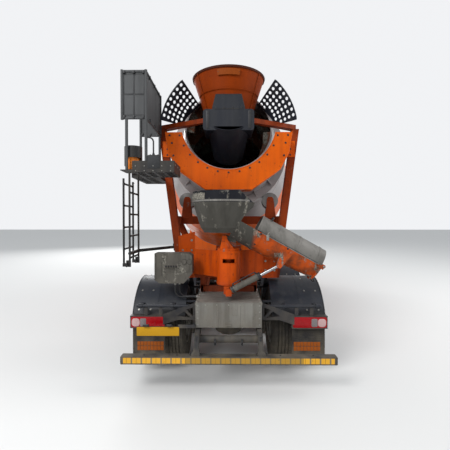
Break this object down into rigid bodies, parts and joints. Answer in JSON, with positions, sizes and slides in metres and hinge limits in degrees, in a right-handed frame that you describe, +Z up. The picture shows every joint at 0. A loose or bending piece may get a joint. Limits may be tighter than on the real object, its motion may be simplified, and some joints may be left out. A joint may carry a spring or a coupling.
{
  "type": "concrete mixer truck",
  "caption": "Multi-axle truck with a forward cab, tilted rotating mixing drum, charging hopper, discharge gutter and a swivelling, folding chute at the rear.",
  "frame": {"origin": "on the ground, at the middle of the truck's length and width", "axes": "+Y towards the cab (forward), +X to the truck's right, +Z up"},
  "size_m": [2.9, 8.6, 4.0141],
  "materials": {
    "orange_paint": "faded paint with grime",
    "hopper_paint": "weathered paint",
    "chassis_paint": "dusty satin paint",
    "black_paint": "satin paint",
    "bare_metal": "dull",
    "galvanised": "dull zinc",
    "concrete_steel": "caked with cement",
    "chrome": "polished",
    "tyre_rubber": "matt",
    "rubber": "matt",
    "black_plastic": "grained",
    "lamp_red": "clear lens",
    "lamp_amber": "clear lens",
    "glass": "clear"
  },
  "bodies": {
    "chassis": {"frame_rails": "chassis_paint", "mixer_subframe": "orange_paint", "drum_drive": "chassis_paint", "rear_pedestal": "orange_paint", "chute_pedestal": "orange_paint", "drum_guards": "black_paint", "charging_hopper": "hopper_paint", "feed_chute": "black_paint", "discharge_collector": "orange_paint", "front_axles": "chassis_paint", "rear_axles": "chassis_paint", "powertrain": "chassis_paint", "side_tanks": "bare_metal", "side_guards": "bare_metal", "mudguards": "black_paint", "mud_flaps": "rubber", "rear_lamps": "lamp_red", "underrun_bar": "black_paint", "rear_cover": "galvanised", "control_cabinet": "bare_metal", "access_platform": "black_paint", "guard_panels": "black_paint", "warning_beacon": "lamp_amber", "water_tank": "bare_metal", "front_bumper": "orange_paint", "head_lamps": "glass", "hoses": "rubber"},
    "cab": {"cab_shell": "orange_paint", "cab_glass": "glass", "cab_interior": "black_plastic", "cab_mirrors": "black_plastic"},
    "door_l": {"door_left": "orange_paint", "door_glass_left": "glass"},
    "door_r": {"door_right": "orange_paint", "door_glass_right": "glass"},
    "drum": {"mixer_drum": "orange_paint", "drum_blades": "orange_paint"},
    "roller_l": {"roller_left": "bare_metal"},
    "roller_r": {"roller_right": "bare_metal"},
    "swivel": {"chute_swivel": "orange_paint"},
    "trough": {"chute_trough": "concrete_steel"},
    "extension": {"chute_extension": "concrete_steel"},
    "barrel": {"ram_barrel": "black_paint"},
    "rod": {"ram_rod": "chrome"},
    "ladder": {"lower_ladder": "black_paint"},
    "steer_1l": {"knuckle_1l": "chassis_paint"},
    "steer_1r": {"knuckle_1r": "chassis_paint"},
    "steer_2l": {"knuckle_2l": "chassis_paint"},
    "steer_2r": {"knuckle_2r": "chassis_paint"},
    "roll_1l": {"wheel_1l": "tyre_rubber"},
    "roll_1r": {"wheel_1r": "tyre_rubber"},
    "roll_2l": {"wheel_2l": "tyre_rubber"},
    "roll_2r": {"wheel_2r": "tyre_rubber"},
    "roll_3l": {"wheel_3l": "tyre_rubber"},
    "roll_3r": {"wheel_3r": "tyre_rubber"},
    "roll_4l": {"wheel_4l": "tyre_rubber"},
    "roll_4r": {"wheel_4r": "tyre_rubber"}
  },
  "joints": [
    {"name": "steer_1l", "type": "hinge", "parent": "chassis", "child": "steer_1l", "pos_m": [-0.935, 2.92, 0.53], "axis": [0, 0, 1], "range_deg": [-35, 35]},
    {"name": "steer_1r", "type": "hinge", "parent": "chassis", "child": "steer_1r", "pos_m": [0.935, 2.92, 0.53], "axis": [0, 0, 1], "range_deg": [-35, 35]},
    {"name": "steer_2l", "type": "hinge", "parent": "chassis", "child": "steer_2l", "pos_m": [-0.935, 0.98, 0.53], "axis": [0, 0, 1], "range_deg": [-25, 25]},
    {"name": "steer_2r", "type": "hinge", "parent": "chassis", "child": "steer_2r", "pos_m": [0.935, 0.98, 0.53], "axis": [0, 0, 1], "range_deg": [-25, 25]},
    {"name": "wheel_1l_spin", "type": "hinge", "parent": "steer_1l", "child": "roll_1l", "pos_m": [-1.045, 2.92, 0.53], "axis": [1, 0, 0], "continuous": true},
    {"name": "wheel_1r_spin", "type": "hinge", "parent": "steer_1r", "child": "roll_1r", "pos_m": [1.045, 2.92, 0.53], "axis": [1, 0, 0], "continuous": true},
    {"name": "wheel_2l_spin", "type": "hinge", "parent": "steer_2l", "child": "roll_2l", "pos_m": [-1.045, 0.98, 0.53], "axis": [1, 0, 0], "continuous": true},
    {"name": "wheel_2r_spin", "type": "hinge", "parent": "steer_2r", "child": "roll_2r", "pos_m": [1.045, 0.98, 0.53], "axis": [1, 0, 0], "continuous": true},
    {"name": "wheel_3l_spin", "type": "hinge", "parent": "chassis", "child": "roll_3l", "pos_m": [-0.9025, -1.8, 0.53], "axis": [1, 0, 0], "continuous": true},
    {"name": "wheel_3r_spin", "type": "hinge", "parent": "chassis", "child": "roll_3r", "pos_m": [0.9025, -1.8, 0.53], "axis": [1, 0, 0], "continuous": true},
    {"name": "wheel_4l_spin", "type": "hinge", "parent": "chassis", "child": "roll_4l", "pos_m": [-0.9025, -3.17, 0.53], "axis": [1, 0, 0], "continuous": true},
    {"name": "wheel_4r_spin", "type": "hinge", "parent": "chassis", "child": "roll_4r", "pos_m": [0.9025, -3.17, 0.53], "axis": [1, 0, 0], "continuous": true},
    {"name": "drum_spin", "type": "hinge", "parent": "chassis", "child": "drum", "pos_m": [0, -3.35, 3.3], "axis": [0, 0.9681, -0.2504], "continuous": true},
    {"name": "roller_l_spin", "type": "hinge", "parent": "chassis", "child": "roller_l", "pos_m": [-0.64355, -2.83013, 2.31474], "axis": [0, 0.9681, -0.2504], "continuous": true},
    {"name": "roller_r_spin", "type": "hinge", "parent": "chassis", "child": "roller_r", "pos_m": [0.64355, -2.83013, 2.31474], "axis": [0, 0.9681, -0.2504], "continuous": true},
    {"name": "cab_tilt", "type": "hinge", "parent": "chassis", "child": "cab", "pos_m": [0, 4.14, 1], "axis": [-1, 0, 0], "range_deg": [0, 60]},
    {"name": "door_l_swing", "type": "hinge", "parent": "cab", "child": "door_l", "pos_m": [-1.227, 3.963, 1.8], "axis": [0, 0, -1], "range_deg": [0, 70]},
    {"name": "door_r_swing", "type": "hinge", "parent": "cab", "child": "door_r", "pos_m": [1.227, 3.963, 1.8], "axis": [0, 0, 1], "range_deg": [0, 70]},
    {"name": "chute_swing", "type": "hinge", "parent": "chassis", "child": "swivel", "pos_m": [0, -3.83, 1.4], "axis": [0, 0, 1], "range_deg": [-120, 0]},
    {"name": "chute_raise", "type": "hinge", "parent": "swivel", "child": "trough", "pos_m": [-0.05, -3.83, 1.8], "axis": [0, -1, 0], "range_deg": [-5, 18]},
    {"name": "chute_fold", "type": "hinge", "parent": "trough", "child": "extension", "pos_m": [1.15083, -3.83, 1.46022], "axis": [0, 1, 0], "range_deg": [0, 180]},
    {"name": "ram_swing", "type": "hinge", "parent": "swivel", "child": "barrel", "pos_m": [0, -4.03, 1.15], "axis": [0, -1, 0], "range_deg": [-3.2, 11]},
    {"name": "ram_slide", "type": "slide", "parent": "barrel", "child": "rod", "axis": [0.8863, 0, 0.4631], "range_m": [-0.052, 0.182]},
    {"name": "ladder_fold", "type": "hinge", "parent": "chassis", "child": "ladder", "pos_m": [-1.167, -4.092, 1.5], "axis": [0, -1, 0], "range_deg": [0, 178]}
  ],
  "couplings": [
    {"joint": "roller_l_spin", "follows": "drum_spin", "ratio": -7.36},
    {"joint": "roller_r_spin", "follows": "drum_spin", "ratio": -7.36},
    {"joint": "ram_swing", "follows": "chute_raise", "ratio": 0.6},
    {"joint": "ram_slide", "follows": "chute_raise", "m_per_rad": 0.575},
    {"joint": "steer_1r", "follows": "steer_1l", "ratio": 1},
    {"joint": "steer_2l", "follows": "steer_1l", "ratio": 0.7},
    {"joint": "steer_2r", "follows": "steer_1l", "ratio": 0.7}
  ]
}
